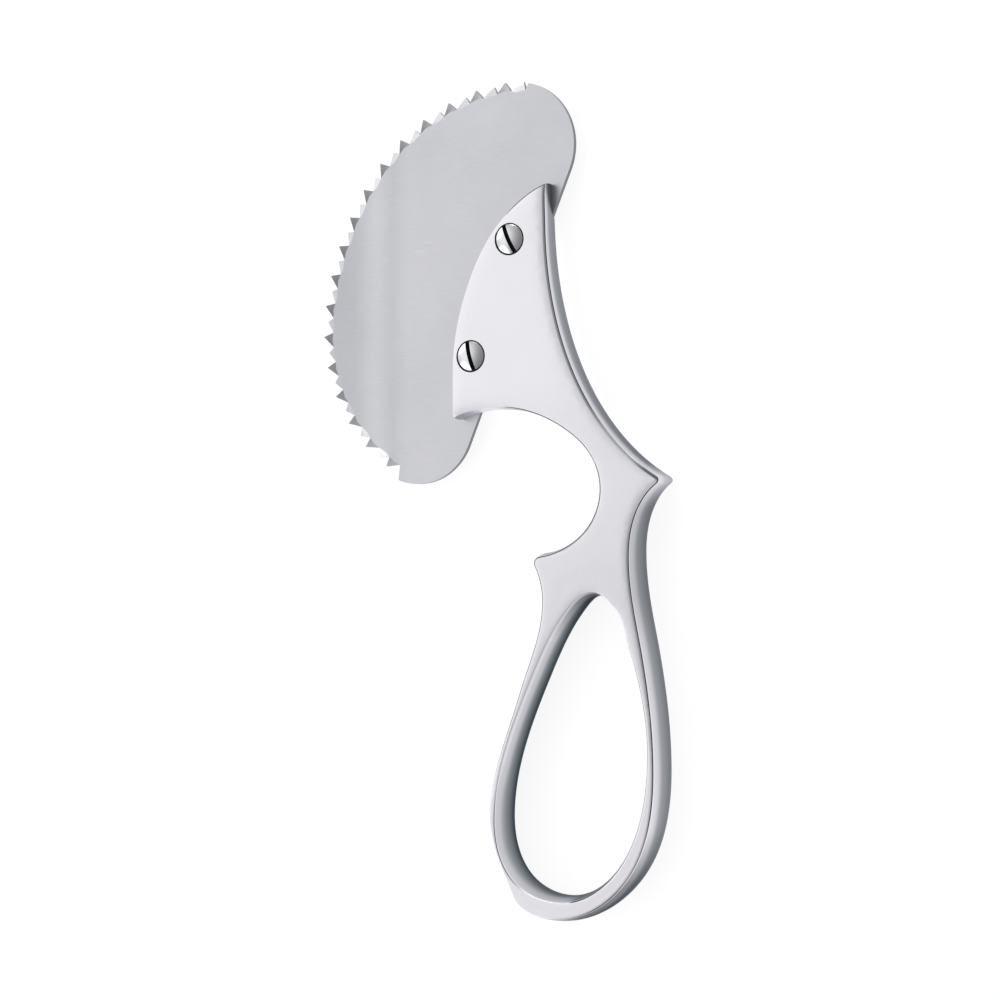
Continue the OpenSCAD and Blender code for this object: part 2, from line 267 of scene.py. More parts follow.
def forged_solid(name, rings):
    """Skin of the handle: crowned sides with broken edges, a front that rolls off, a flat back."""
    front_rows = (0.15, 0.35, 0.6, 0.9, 1.2, 1.6, 2.0, 2.5)      # finest where the front rolls off
    back_rows, grid, side_rows = (0.6,), 1.6, 10
    front_rings = [ring + inward(ring) * drawn_in(front_height(ring[:, 1]))[:, None]
                   for ring in rings]
    points, faces, front_rims, back_rims = [], [], [], []
    for ring, front_ring in zip(rings, front_rings):
        y, n, radius = ring[:, 1], len(ring), edge_radius(ring)
        top, bottom = front_height(y) - roll_off(front_ring, front_rings), back_height(y)
        levels = broken_edge(bottom, 1, radius, (90, 60, 30, 0))
        for t in np.linspace(0, 1, side_rows + 1)[1:-1]:
            z = bottom + radius + t * (top - bottom - 2 * radius)
            levels.append((z, 0, z))
        levels += broken_edge(top, -1, radius, (0, 18, 36, 54, 72, 90))
        back_rims.append((len(points), n))
        front_rims.append((len(points) + (len(levels) - 1) * n, n))
        for row in range(back_rims[-1][0], front_rims[-1][0], n):
            for i in range(n):
                k = (i + 1) % n
                faces.append((row + i, row + k, row + n + k, row + n + i))
        for z, edge_in, side_z in levels:
            flat = ring + inward(ring) * (drawn_in(side_z) + edge_in)[:, None]
            points += [(*p, h) for p, h in zip(flat, z)]
    flat_points = np.array([p[:2] for p in points])
    for rims, rows, front in ((front_rims, front_rows, True), (back_rims, back_rows, False)):
        outer, *holes = [flat_points[start:start + n] for start, n in rims]
        fill = face_points(outer, holes, rows, grid)
        ids = [i for start, n in rims for i in range(start, start + n)]
        ids += range(len(points), len(points) + len(fill))
        for t in face_triangles(outer, holes, fill):
            faces.append([ids[k] for k in (t if front else t[::-1])])
        z = back_height(fill[:, 1])
        if front:
            z = front_height(fill[:, 1]) - roll_off(fill, front_rings)
        points += [(*p, h) for p, h in zip(fill, z)]
    return solid(name, points, faces)


def turned_solid(name, profile, at, sides=96):
    """Solid turned about an upright axis; its profile runs upwards, from the axis to the axis."""
    points, faces, rows = [], [], []
    for r, z in profile:
        if r == 0:
            rows.append([len(points)])
            points.append((at[0], at[1], z))
        else:
            rows.append(list(range(len(points), len(points) + sides)))
            for i in range(sides):
                a = 2 * math.pi * i / sides
                points.append((at[0] + r * math.cos(a), at[1] + r * math.sin(a), z))
    for low, high in zip(rows, rows[1:]):
        for i in range(sides):
            k = (i + 1) % sides
            if len(low) == 1:
                faces.append((low[0], high[k], high[i]))
            elif len(high) == 1:
                faces.append((low[i], low[k], high[0]))
            else:
                faces.append((low[i], low[k], high[k], high[i]))
    return solid(name, points, faces)


def plate(name, corners, low, high):
    """Flat plate between two heights, with its corners in turn to the left."""
    points = [(*c, low) for c in corners] + [(*c, high) for c in corners]
    n = len(corners)
    faces = [tuple(range(n))[::-1], tuple(range(n, 2 * n))]
    faces += [(i, (i + 1) % n, n + (i + 1) % n, n + i) for i in range(n)]
    return solid(name, points, faces)


def settle(obj):
    """Puts what the modifiers of an object do into its mesh."""
    bpy.context.view_layer.update()
    shape = obj.evaluated_get(bpy.context.evaluated_depsgraph_get())
    done = bpy.data.meshes.new_from_object(shape)
    obj.modifiers.clear()
    obj.data = done


def cut(obj, cutters):
    """Machines the cutters out of a solid."""
    for cutter in cutters:
        step = obj.modifiers.new("machined", "BOOLEAN")
        step.operation, step.solver, step.object = "DIFFERENCE", "EXACT", cutter
    settle(obj)
    for cutter in cutters:
        bpy.data.objects.remove(cutter)


def finish_edges(obj, sharp=30, width=0.0):
    """Smooth shading up to the edges that are sharper than an angle, and a small bevel on those
    where a width in millimetres is given."""
    if width:
        bevel = obj.modifiers.new("broken edge", "BEVEL")
        bevel.width, bevel.segments = width / 1000, 2
        bevel.limit_method, bevel.angle_limit = "ANGLE", math.radians(sharp)
        settle(obj)
    obj.data.shade_smooth()
    obj.data.set_sharp_from_angle(angle=math.radians(sharp))
    obj.modifiers.new("even shading", "WEIGHTED_NORMAL").keep_sharp = True
    settle(obj)


# The rebate takes the blade, whose straight back leans against its shoulder, and each screw has
# a clearance hole and a countersunk seat, whose lip is broken
blade_back, blade_lean = np.array([-4.8, 31.3]), 22.5
blade_low, blade_top = -2.1, -1.1
shoulder_gap = 0.1
screw_places, screw_rims = ((-5.03, 43.3), (-12.61, 22.63)), (2.12, 2.47)
hole_r, seat_r, lip_r, lip_h = 1.6, 2.85, 2.95, 0.1
past, beneath, above = 100, -30, 9              # where a cutter is well clear of the saw


def on_saw(places):
    """Turns places measured from the middle of the blade's back into places on the saw."""
    c, s = math.cos(math.radians(blade_lean)), math.sin(math.radians(blade_lean))
    return blade_back + np.asarray(places, float) @ [[c, -s], [s, c]]


handle = forged_solid("forged_handle", [handle_ring, loop_ring])
cutters = [plate("rebate", on_saw([(shoulder_gap, -past), (shoulder_gap, past), (-past, past),
                                   (-past, -past)]), beneath, blade_top)]
for place, rim in zip(screw_places, screw_rims):
    cutters.append(turned_solid("seat", [
        (0, beneath), (hole_r, beneath), (hole_r, rim - (seat_r - hole_r)), (seat_r, rim),
        (seat_r, rim + lip_h), (lip_r, rim + 2 * lip_h), (lip_r, above), (0, above)], place))
cut(handle, cutters)
finish_edges(handle)


def mark_surface(obj):
    """Paints the marks on the handle's skin, each from 0 to 1 at every point: the darker skin of
    the forging, and painted shade on the sides, on the broken edges and over the grip.
    """
    at = np.array([v.co for v in obj.data.vertices]) * 1000 + saw_origin
    x, y, z = at.T
    in_loop = distance_to(at[:, :2], [loop_ring]) < distance_to(at[:, :2], [handle_ring])
    right_side = np.interp(x, [10, 14], [0, 1])
    lower_right = np.interp(x, [3, 9], [0, 1]) * np.interp(y, [-70, -60], [1, 0])
    under_spur = np.interp(x, [15, 18], [0, 1]) * np.interp(y, [-30, -20, -5, -1], [0, 1, 1, 0])

    # How dark the painted line of shade along the broken edge is: not at all on the toothed side
    # of the head and low on the left, and less above the spur and low on the right
    edge_line = np.interp(x, [-9, -4], [0, 1]) * np.maximum(np.interp(y, [-62, -50], [0, 1]),
                                                        np.interp(x, [4, 12], [0, 1]))
    edge_line *= 1 - right_side * np.interp(y, [2, 4, 12, 16], [0, 0.7, 0.7, 0])
    edge_line *= 1 - right_side * np.interp(y, [-72, -69, -63, -58], [0, 0.6, 0.6, 0])
    # In the loop it shows all down the right limb, but only at the bottom of the left one
    edge_line_in = np.where(x > 8, np.interp(y, [-66, -60, -34, -26], [1, 0.8, 0.8, 0]),
                        np.interp(y, [-62, -54], [1, 0]) * np.interp(x, [-5, -1], [1, 0]))

    # How much of the dark skin of the forging, with the painted shade that grows towards the back,
    # the side keeps: none beside the cheek, and half of it at the tip of the spur
    skin_and_shade = 1 - np.interp(x, [-8, -4], [1, 0]) * np.interp(y, [9, 11], [0, 1])
    skin_and_shade *= 1 - 0.5 * np.interp(x, [21, 24], [0, 1]) * np.interp(y, [-6, -3], [0, 1])

    # How deep the point lies on the side, from its broken edge to the back: 0 to 0.5 outside and
    # 0.5 to 1 in the loop, in whose upper part the painted shade starts a little deeper
    edge_h = 0.3
    side_top = front_height(y) - edge_h
    depth = np.clip((side_top - z) / (side_top - back_height(y)), 0, 1)
    deeper = np.interp(depth, [0, 0.13, 0.25, 0.5], [0, -0.1, -0.07, 0])
    depth_in = depth * np.interp(y, [-72, -66], [0.8, 1])
    depth_in += np.interp(y, [-56, -50], [0, 1]) * deeper

    # Where painted shade darkens the side in patches: low on the right, a little under the spur,
    # and in the loop at the top and low on the right
    dark_patches = np.maximum(lower_right, 0.35 * under_spur)
    dark_patches_in = np.interp(y, [-73, -69, -50, -27.5, -21], [0.4, 0.2, 0.2, 0.1, 1])
    dark_patches_in = np.maximum(dark_patches_in, np.interp(y, [-71, -60], [1, 0]) * np.interp(x, [5, 9], [0, 1]))

    # How much painted shade darkens the handle over the grip
    grip_shade = np.interp(y, [-58, -35, 5, 18], [0, 1, 1, 0])

    for name, values in (("stone_marks", np.where(in_loop, edge_line_in, edge_line)),
                         ("kept_skin", np.where(in_loop, 1, skin_and_shade)),
                         ("thick_scale", np.where(in_loop, dark_patches_in, dark_patches)),
                         ("side_depth", np.where(in_loop, 0.5 + 0.5 * depth_in, 0.5 * depth)),
                         ("hand_wear", grip_shade)):
        marks = obj.data.attributes.new(name, "FLOAT", "POINT")
        marks.data.foreach_set("value", values.astype("f"))


mark_surface(handle)
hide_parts("handle")
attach(handle, "root")


def linear(hex_colour):
    """sRGB hex to the linear colour that shaders take."""
    parts = [int(hex_colour[i:i + 2], 16) / 255 for i in (1, 3, 5)]
    return [p / 12.92 if p <= 0.04045 else ((p + 0.055) / 1.055) ** 2.4 for p in parts] + [1]


def add_node(tree, kind, settings={}, links={}):
    """Adds a node. Settings are its properties, the values of its sockets and the stops of its
    ramp, and links are the sockets that feed it. A socket goes by its name or its number: a Mix
    node takes its share at 0, numbers at 2 and 3, colours at 6 and 7, and gives a colour at 2."""
    node = tree.nodes.new(kind)
    for key, value in settings.items():
        if key == "stops":
            elements = node.color_ramp.elements
            for position, _ in value[1:-1]:
                elements.new(position)
            for element, (position, colour) in zip(elements, value):
                element.position, element.color = position, colour
        elif isinstance(key, str) and hasattr(node, key):
            setattr(node, key, value)
        else:
            node.inputs[key].default_value = value
    for key, source in links.items():
        tree.links.new(source, node.inputs[key])
    return node


def new_material(name):
    material = bpy.data.materials.new(name)
    material.use_nodes = True
    material.node_tree.nodes.clear()
    return material, material.node_tree


def per_metre(size):
    """Scale of a noise whose marks have a size in millimetres, as a round number."""
    return round(1000 / size, -1)


def steel_greys(*stops):
    """Stops of a ramp in greys with a touch of blue, as bare steel has in its darker tones."""
    return [(position, (level, level + 0.031 * (1 - level), level + 0.036 * (1 - level), 1))
            for position, level in stops]


# Satin stainless steel: martensitic steel, ground and then finished on a fine abrasive mop.
# The eye sees a pale, slightly cloudy sheen with the faintest grain along the saw, and darker
# sides. The real grain is some hundredths of a millimetre wide, and drawn coarser so that it shows.
satin_dark, satin_pale = linear("#eeedf4"), linear("#fdfbff")
grain_width, grain_length, cloud_size = 0.25, 2.86, 11.1
bump_depth = 0.02 / 1000                        # in metres

satin, tree = new_material("satin stainless steel")
place = add_node(tree, "ShaderNodeTexCoord").outputs["Object"]
normal = add_node(tree, "ShaderNodeTexCoord").outputs["Normal"]
grain_cells = per_metre(grain_width), per_metre(grain_length), per_metre(grain_width)
grain_way = add_node(tree, "ShaderNodeMapping", {"Scale": grain_cells}, {"Vector": place})
grain = add_node(tree, "ShaderNodeTexNoise", {"Scale": 1.0, "Detail": 3.0, "Roughness": 0.6},
                 {"Vector": grain_way.outputs[0]})
cloud = add_node(tree, "ShaderNodeTexNoise",
                 {"Scale": per_metre(cloud_size), "Detail": 4.0, "Roughness": 0.55},
                 {"Vector": place})
blotch = add_node(tree, "ShaderNodeMix", {"data_type": "FLOAT", 0: 0.55},
                  {2: grain.outputs["Fac"], 3: cloud.outputs["Fac"]})
tone = add_node(tree, "ShaderNodeMix", {"data_type": "RGBA", 6: satin_dark, 7: satin_pale},
                {0: blotch.outputs[0]})

# The mop polishes the front and the part of the side that leans towards it, and the rest of the
# side keeps the darker skin of the forging, under painted shade. A painted line of shade lies
# between them, on the edge itself: a ramp finds each by how far the surface leans, from straight
# down at 0 to up at 1.
edge_line, skin_and_shade_mark, dark_patch_mark, depth, grip_shade = [
    add_node(tree, "ShaderNodeAttribute", {"attribute_name": name}).outputs["Fac"]
    for name in ("stone_marks", "kept_skin", "thick_scale", "side_depth", "hand_wear")]
up = add_node(tree, "ShaderNodeSeparateXYZ", {}, {"Vector": normal}).outputs["Z"]
lean = add_node(tree, "ShaderNodeMapRange", {"From Min": -1.0, "From Max": 1.0},
                {"Value": up}).outputs[0]
# Painted shade: a dark line on the broken edge, where the surface leans half up
edge_line_shade = add_node(tree, "ShaderNodeValToRGB", {"stops": steel_greys(
    (0.66, 1.0), (0.70, 0.13), (0.96, 0.08), (0.982, 0.5), (0.991, 1.0))}, {"Fac": lean})
on_side = add_node(tree, "ShaderNodeValToRGB", {"stops": steel_greys(
    (0.12, 0.0), (0.25, 1.0), (0.70, 1.0), (0.78, 0.0))}, {"Fac": lean})
# The painted shade on the skin and in the dark patches grows darker or paler with depth, in one
# ramp for both kinds of side: the outside up to 0.5, and the loop from there on
skin_and_shade = add_node(tree, "ShaderNodeValToRGB", {"stops": steel_greys(
    (0.0, 0.95), (0.025, 0.79), (0.06, 0.75), (0.095, 0.64), (0.12, 0.51), (0.155, 0.42),
    (0.2, 0.4), (0.275, 0.4), (0.375, 0.42), (0.499, 0.46),
    (0.501, 0.95), (0.525, 0.77), (0.56, 0.72), (0.595, 0.62), (0.62, 0.5), (0.655, 0.4),
    (0.7, 0.33), (0.775, 0.28), (0.875, 0.235), (1.0, 0.2))}, {"Fac": depth})
dark_patches = add_node(tree, "ShaderNodeValToRGB", {"stops": steel_greys(
    (0.0, 1.0), (0.01, 0.4), (0.15, 0.6), (0.3, 0.75), (0.499, 0.8),
    (0.501, 1.0), (0.51, 0.4), (0.65, 0.55), (0.8, 0.75), (1.0, 0.8))}, {"Fac": depth})
# Painted shade over the grip
grip_shade_ramp = add_node(tree, "ShaderNodeValToRGB", {"stops": steel_greys((0.0, 1.0), (1.0, 0.91))},
                {"Fac": grip_shade})
skin_and_shade_share, dark_patch_share = [
    add_node(tree, "ShaderNodeMath", {"operation": "MULTIPLY"}, {0: mark, 1: on_side.outputs[0]})
    for mark in (skin_and_shade_mark, dark_patch_mark)]
layer = {"data_type": "RGBA", "blend_type": "MULTIPLY", 0: 1.0}
mopped_and_shaded = add_node(tree, "ShaderNodeMix", layer, {6: tone.outputs[2], 7: grip_shade_ramp.outputs[0]})
for share, shade in ((skin_and_shade_share.outputs[0], skin_and_shade), (dark_patch_share.outputs[0], dark_patches),
                     (edge_line, edge_line_shade)):
    mopped_and_shaded = add_node(tree, "ShaderNodeMix", layer,
                      {0: share, 6: mopped_and_shaded.outputs[2], 7: shade.outputs[0]})

# The tint keeps the painted shade dark where it is seen aslant
rough = add_node(tree, "ShaderNodeMapRange", {"To Min": 0.26, "To Max": 0.36},
                 {"Value": grain.outputs["Fac"]})
bump = add_node(tree, "ShaderNodeBump", {"Strength": 0.12, "Distance": bump_depth},
                {"Height": grain.outputs["Fac"]})
steel = add_node(tree, "ShaderNodeBsdfPrincipled", {"Metallic": 1.0},
                 {"Base Color": mopped_and_shaded.outputs[2], "Specular Tint": mopped_and_shaded.outputs[2],
                  "Roughness": rough.outputs[0], "Normal": bump.outputs[0]})
add_node(tree, "ShaderNodeOutputMaterial", {}, {"Surface": steel.outputs[0]})
handle.data.materials.clear()
handle.data.materials.append(satin)

# Painted shade in the recesses: the sawn and countersunk faces are painted nearly black, in
# patches under a millimetre wide, so that they show as fine dark lines.
shade_dark, shade_pale, shade_patch_size = linear("#1d2224"), linear("#4a5155"), 0.83

recess_shade, tree = new_material("painted shade in the recesses")
place = add_node(tree, "ShaderNodeTexCoord").outputs["Object"]
shade_patches = add_node(tree, "ShaderNodeTexNoise", {"Scale": per_metre(shade_patch_size), "Detail": 3.0},
                {"Vector": place})
tone = add_node(tree, "ShaderNodeMix", {"data_type": "RGBA", 6: shade_dark, 7: shade_pale},
                {0: shade_patches.outputs["Fac"]})
rough = add_node(tree, "ShaderNodeMapRange", {"To Min": 0.45, "To Max": 0.7},
                 {"Value": shade_patches.outputs["Fac"]})
steel = add_node(tree, "ShaderNodeBsdfPrincipled", {"Metallic": 0.6},
                 {"Base Color": tone.outputs[2], "Roughness": rough.outputs[0]})
add_node(tree, "ShaderNodeOutputMaterial", {}, {"Surface": steel.outputs[0]})
handle.data.materials.append(recess_shade)


def darken(obj, test):
    """Gives the painted shade of the recesses to the faces whose corners, in saw millimetres, and
    normal pass a test.
    """
    for face in obj.data.polygons:
        corners = np.array([obj.data.vertices[i].co for i in face.vertices]) * 1000 + saw_origin
        if test(corners, face.normal):
            face.material_index = 1


def from_axis(corners, place):
    """Distances of a face's corners from the axis of a screw."""
    return np.hypot(*(corners[:, :2] - place).T)


# The countersunk seats of the screws get painted shade
darken(handle, lambda corners, normal: any(from_axis(corners, place).max() < lip_r + 0.02
                                           for place in screw_places))

# Saw blade: half-moon of hardened spring steel sheet, one millimetre thick, ground on both faces.
# Its 34 teeth are filed, thinned and bent to either side in turn; it lies in the rebate
# behind the cheek with its straight back against the shoulder.
blade_len, blade_depth = 75.9, 37.4
lobe_top_r, lobe_low_r = 11.7, 11.3
lobe_top_turn, lobe_low_turn = 99, 88.5
teeth, tooth_h, tooth_set, tip_t = 34, 1.7, 0.5, 0.5
tooth_rake, pitch_taper = 21, 0.035                     # wider spaced towards the upper end
tip_lean = tooth_h * math.tan(math.radians(tooth_rake))
arcs = ((37.5, 55.8), (50.5, 27.0), (28.8, 67.4))       # radius and sweep of the gullet line
middle_start, middle_y = 167.8, -1.1                    # heading and place of its middle arc


def gullet_line():
    """The three arcs of the gullet line, each with its centre, radius, first heading and length."""
    (top_r, top_sweep), (mid_r, mid_sweep), (low_r, low_sweep) = arcs
    middle = np.array([mid_r - blade_depth, middle_y])
    low_start = middle_start + mid_sweep
    return ((middle + (mid_r - top_r) * heading_to(middle_start), top_r, middle_start - top_sweep,
             math.radians(top_sweep) * top_r),
            (middle, mid_r, middle_start, math.radians(mid_sweep) * mid_r),
            (middle + (mid_r - low_r) * heading_to(low_start), low_r, low_start,
             math.radians(low_sweep) * low_r))


def along_edge(s, out):
    """Point at a distance along the gullet line, and out from it."""
    line = gullet_line()
    for i, (centre, r, start, length) in enumerate(line):
        if s < length or i == len(line) - 1:
            return centre + (r + out) * heading_to(start + math.degrees(s / r))
        s -= length


def tooth_place(i):
    """How far along the gullet line a tooth starts."""
    part = i / teeth
    return sum(a[3] for a in gullet_line()) * (part + pitch_taper * part * (1 - part))


def saw_plate(name):
    """Ground plate with bent teeth: each point of its ring has a height on either face."""
    flank = (0.25, 0.5, 0.75, 0.96)
    ring, low, high = [], [], []
    for i in range(teeth):
        bent_up = i % 2 == 1
        root, next_root = along_edge(tooth_place(i), 0), along_edge(tooth_place(i + 1), 0)
        tip = along_edge(tooth_place(i + 0.5) - tip_lean, tooth_h)
        for foot, t in ([(root, 0.0)] + [(root, t) for t in flank]
                        + [(next_root, t) for t in flank[::-1]]):
            ring.append(foot + t * (tip - foot))
            bend, thin = tooth_set * t, (blade_top - blade_low - tip_t) * t
            low.append(blade_low + (bend + thin if bent_up else -bend))
            high.append(blade_top + (bend if bent_up else -bend - thin))
    low_y, top_y = lobe_low_r - blade_len / 2, blade_len / 2 - lobe_top_r
    plain = [along_edge(tooth_place(teeth), 0)]
    plain += [np.array([-lobe_low_r, low_y]) + lobe_low_r * heading_to(a)
              for a in np.linspace(-lobe_low_turn, 0, 45)]
    plain += [np.array([0, y]) for y in np.linspace(low_y, top_y, 22)[1:-1]]
    plain += [np.array([-lobe_top_r, top_y]) + lobe_top_r * heading_to(a)
              for a in np.linspace(0, lobe_top_turn, 50)]
    ring = np.array(ring + plain)
    n = len(ring)
    fill = face_points(ring, [], (0.8, 2.0), 2.5)
    tris = face_triangles(ring, [], fill)
    flat = on_saw(np.vstack([ring, fill]))
    under = len(flat)
    level = len(plain) + len(fill)
    points = [(*p, z) for p, z in zip(flat, high + [blade_top] * level)]
    points += [(*p, z) for p, z in zip(flat, low + [blade_low] * level)]
    faces = [tuple(t) for t in tris] + [tuple(under + k for k in t[::-1]) for t in tris]
    faces += [(under + i, under + (i + 1) % n, (i + 1) % n, i) for i in range(n)]
    return solid(name, points, faces)


def drill(name, radius, place, reach=9):
    """Cutter that bores a hole right through a piece."""
    return turned_solid(name, [(0, -reach), (radius, -reach), (radius, reach), (0, reach)], place)


blade = saw_plate("ground_blade")
cut(blade, [drill("hole", hole_r, place) for place in screw_places])
finish_edges(blade, sharp=12)
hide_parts("saw_blade")
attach(blade, "root")

# Ground spring steel: greyer than the handle, with fine grinding lines across the depth of the
# blade. The wheel's real lines are finer than the render shows, so they are drawn coarser.
ground_dark, ground_pale = linear("#c6c7cc"), linear("#e7e7ec")
line_width, line_length, cloud_size = 0.222, 2.86, 14.3

ground, tree = new_material("ground spring steel")
place = add_node(tree, "ShaderNodeTexCoord").outputs["Object"]
normal = add_node(tree, "ShaderNodeTexCoord").outputs["Normal"]
grind_cells = per_metre(line_length), per_metre(line_width), per_metre(line_width)
grind_way = add_node(tree, "ShaderNodeMapping",
                     {"Rotation": (0, 0, math.radians(blade_lean)), "Scale": grind_cells},
                     {"Vector": place})
grind = add_node(tree, "ShaderNodeTexNoise", {"Scale": 1.0, "Detail": 3.0, "Roughness": 0.6},
                 {"Vector": grind_way.outputs[0]})
cloud = add_node(tree, "ShaderNodeTexNoise",
                 {"Scale": per_metre(cloud_size), "Detail": 5.0, "Roughness": 0.6},
                 {"Vector": place})
blotch = add_node(tree, "ShaderNodeMix", {"data_type": "FLOAT", 0: 0.5},
                  {2: grind.outputs["Fac"], 3: cloud.outputs["Fac"]})
tone = add_node(tree, "ShaderNodeMix", {"data_type": "RGBA", 6: ground_dark, 7: ground_pale},
                {0: blotch.outputs[0]})

# Painted shade darkens the grind a little behind the teeth on the left and in a band beside
# them, and darkens the sheared sides of the plate
across = add_node(tree, "ShaderNodeSeparateXYZ", {}, {"Vector": place}).outputs["X"]
band_left, band_right = [(x - saw_origin[0]) / 1000 for x in (-42, -26)]
across_band = add_node(tree, "ShaderNodeMapRange", {"From Min": band_left, "From Max": band_right},
                   {"Value": across})
grind_band_shade = add_node(tree, "ShaderNodeValToRGB", {"stops": steel_greys(
    (0.0, 0.82), (0.2, 0.84), (0.42, 0.98), (0.5, 1.0), (0.7, 0.9), (0.9, 1.0), (1.0, 1.0))},
    {"Fac": across_band.outputs[0]})
up = add_node(tree, "ShaderNodeSeparateXYZ", {}, {"Vector": normal}).outputs["Z"]
sheared_side_shade = add_node(tree, "ShaderNodeValToRGB", {"stops": steel_greys(
    (0.0, 0.28), (0.3, 0.34), (0.6, 1.0), (1.0, 1.0))}, {"Fac": up})
ground_tone = tone
for shade in (grind_band_shade, sheared_side_shade):
    ground_tone = add_node(tree, "ShaderNodeMix", layer,
                           {6: ground_tone.outputs[2], 7: shade.outputs[0]})
rough = add_node(tree, "ShaderNodeMapRange", {"To Min": 0.3, "To Max": 0.42},
                 {"Value": grind.outputs["Fac"]})
bump = add_node(tree, "ShaderNodeBump", {"Strength": 0.15, "Distance": bump_depth},
                {"Height": grind.outputs["Fac"]})
steel = add_node(tree, "ShaderNodeBsdfPrincipled", {"Metallic": 1.0},
                 {"Base Color": ground_tone.outputs[2], "Roughness": rough.outputs[0],
                  "Normal": bump.outputs[0]})
add_node(tree, "ShaderNodeOutputMaterial", {}, {"Surface": steel.outputs[0]})
blade.data.materials.clear()
blade.data.materials.append(ground)

# Two screws: turned steel, M3 thread, raised countersunk heads 5.5 mm wide with a sawn slot.
# They go through the cheek and the blade into the nuts, and their ends are filed flush.
head_r, dome_h, thread_r, nut_low = 2.75, 0.7, 1.5, -3.9
dome_r = (head_r ** 2 + dome_h ** 2) / 2 / dome_h
dome_start, rim_start = 0.95, 0.94              # shares of the head's radius
end_bevel, rim_edge, rim_lip, edge_width = 0.25, 0.05, 0.03, 0.03
slot_w, slot_d, slot_reach = 0.8, 0.6, 4
slot_headings = 115, 105

# Polished steel: the heads were buffed in the lathe, and the eye sees a bright spot of the window
# in each, softened by scuffs about a millimetre wide that the screwdriver and cloths left.
screw_colour, scuff_size = linear("#e8e9ec"), 1.11

polished, tree = new_material("polished steel of the screws")
place = add_node(tree, "ShaderNodeTexCoord").outputs["Object"]
scuffs = add_node(tree, "ShaderNodeTexNoise",
                  {"Scale": per_metre(scuff_size), "Detail": 4.0, "Roughness": 0.7},
                  {"Vector": place})
rough = add_node(tree, "ShaderNodeMapRange", {"To Min": 0.14, "To Max": 0.26},
                 {"Value": scuffs.outputs["Fac"]})
bump = add_node(tree, "ShaderNodeBump", {"Strength": 0.1, "Distance": bump_depth},
                {"Height": scuffs.outputs["Fac"]})
steel = add_node(tree, "ShaderNodeBsdfPrincipled", {"Metallic": 1.0, "Base Color": screw_colour},
                 {"Roughness": rough.outputs[0], "Normal": bump.outputs[0]})
add_node(tree, "ShaderNodeOutputMaterial", {}, {"Surface": steel.outputs[0]})

for name, place, rim, slot_heading in zip(("upper_screw", "lower_screw"), screw_places,
                                          screw_rims, slot_headings):
    profile = [(0, nut_low), (thread_r - end_bevel, nut_low), (thread_r, nut_low + end_bevel),
               (thread_r, rim - head_r + thread_r), (head_r - rim_edge, rim - rim_edge),
               (head_r - rim_lip, rim)]
    for share in np.linspace(dome_start, 0, 18):
        r = head_r * share
        profile.append((r, rim + dome_h - dome_r + math.sqrt(dome_r ** 2 - r * r)))
    screw = turned_solid("turned_" + name, profile, place)
    across, along = heading_to(slot_heading + 90), heading_to(slot_heading)
    slot = plate("slot", [np.array(place) + slot_reach * i * along + slot_w / 2 * j * across
                          for i, j in ((-1, 1), (-1, -1), (1, -1), (1, 1))], rim - slot_d, above)
    cut(screw, [slot])
    finish_edges(screw, sharp=28, width=edge_width)
    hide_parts(name)
    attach(screw, "root")
    screw.data.materials.clear()
    screw.data.materials.append(polished)
    screw.data.materials.append(recess_shade)
    # The walls and the floor of the slot and the rim of the head get nearly black painted shade
    darken(screw, lambda corners, normal: corners[:, 2].min() > rim - slot_d - 0.05 and (
        normal.z < 0.3 or corners[:, 2].max() < rim - slot_d + 0.1
        or from_axis(corners, place).min() > rim_start * head_r))

# Two thin hexagonal nuts against the back of the blade: milled from bar 5.5 mm across the flats,
# with the corners of their outer faces turned off and a clear hole for the thread.
nut_w, thread_gap, flat_headings = 5.5, 0.03, (12, 40)
cone_low_r, cone_top_r, turning_r = 2.6, 3.6, 9
left_whole = 0.002                              # the turning stops a hair short of the seat

# Milled bright steel: the cutter leaves a plain, slightly grey metal, whose marks, a fraction of
# a millimetre wide, soften what it mirrors.
nut_colour, mark_size = linear("#cfd0d4"), 0.667

milled, tree = new_material("milled bright steel")
place = add_node(tree, "ShaderNodeTexCoord").outputs["Object"]
cutter_marks = add_node(tree, "ShaderNodeTexNoise",
                        {"Scale": per_metre(mark_size), "Detail": 3.0, "Roughness": 0.6},
                        {"Vector": place})
rough = add_node(tree, "ShaderNodeMapRange", {"To Min": 0.2, "To Max": 0.34},
                 {"Value": cutter_marks.outputs["Fac"]})
bump = add_node(tree, "ShaderNodeBump", {"Strength": 0.15, "Distance": bump_depth},
                {"Height": cutter_marks.outputs["Fac"]})
steel = add_node(tree, "ShaderNodeBsdfPrincipled", {"Metallic": 1.0, "Base Color": nut_colour},
                 {"Roughness": rough.outputs[0], "Normal": bump.outputs[0]})
add_node(tree, "ShaderNodeOutputMaterial", {}, {"Surface": steel.outputs[0]})

for name, place, flat_heading in zip(("upper_nut", "lower_nut"), screw_places, flat_headings):
    corners = [np.array(place) + nut_w / 2 / math.cos(math.radians(30))
               * heading_to(flat_heading + 60 * i) for i in range(6)]
    nut = plate("milled_" + name, corners, nut_low, blade_low)
    turning = turned_solid("turning", [
        (0, nut_low - 1), (turning_r, nut_low - 1), (turning_r, blade_low - left_whole),
        (cone_top_r, blade_low - left_whole), (cone_low_r, nut_low), (0, nut_low)], place)
    cut(nut, [turning, drill("bore", thread_r + thread_gap, place)])
    finish_edges(nut, sharp=25)
    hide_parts(name)
    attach(nut, "root")
    nut.data.materials.clear()
    nut.data.materials.append(milled)

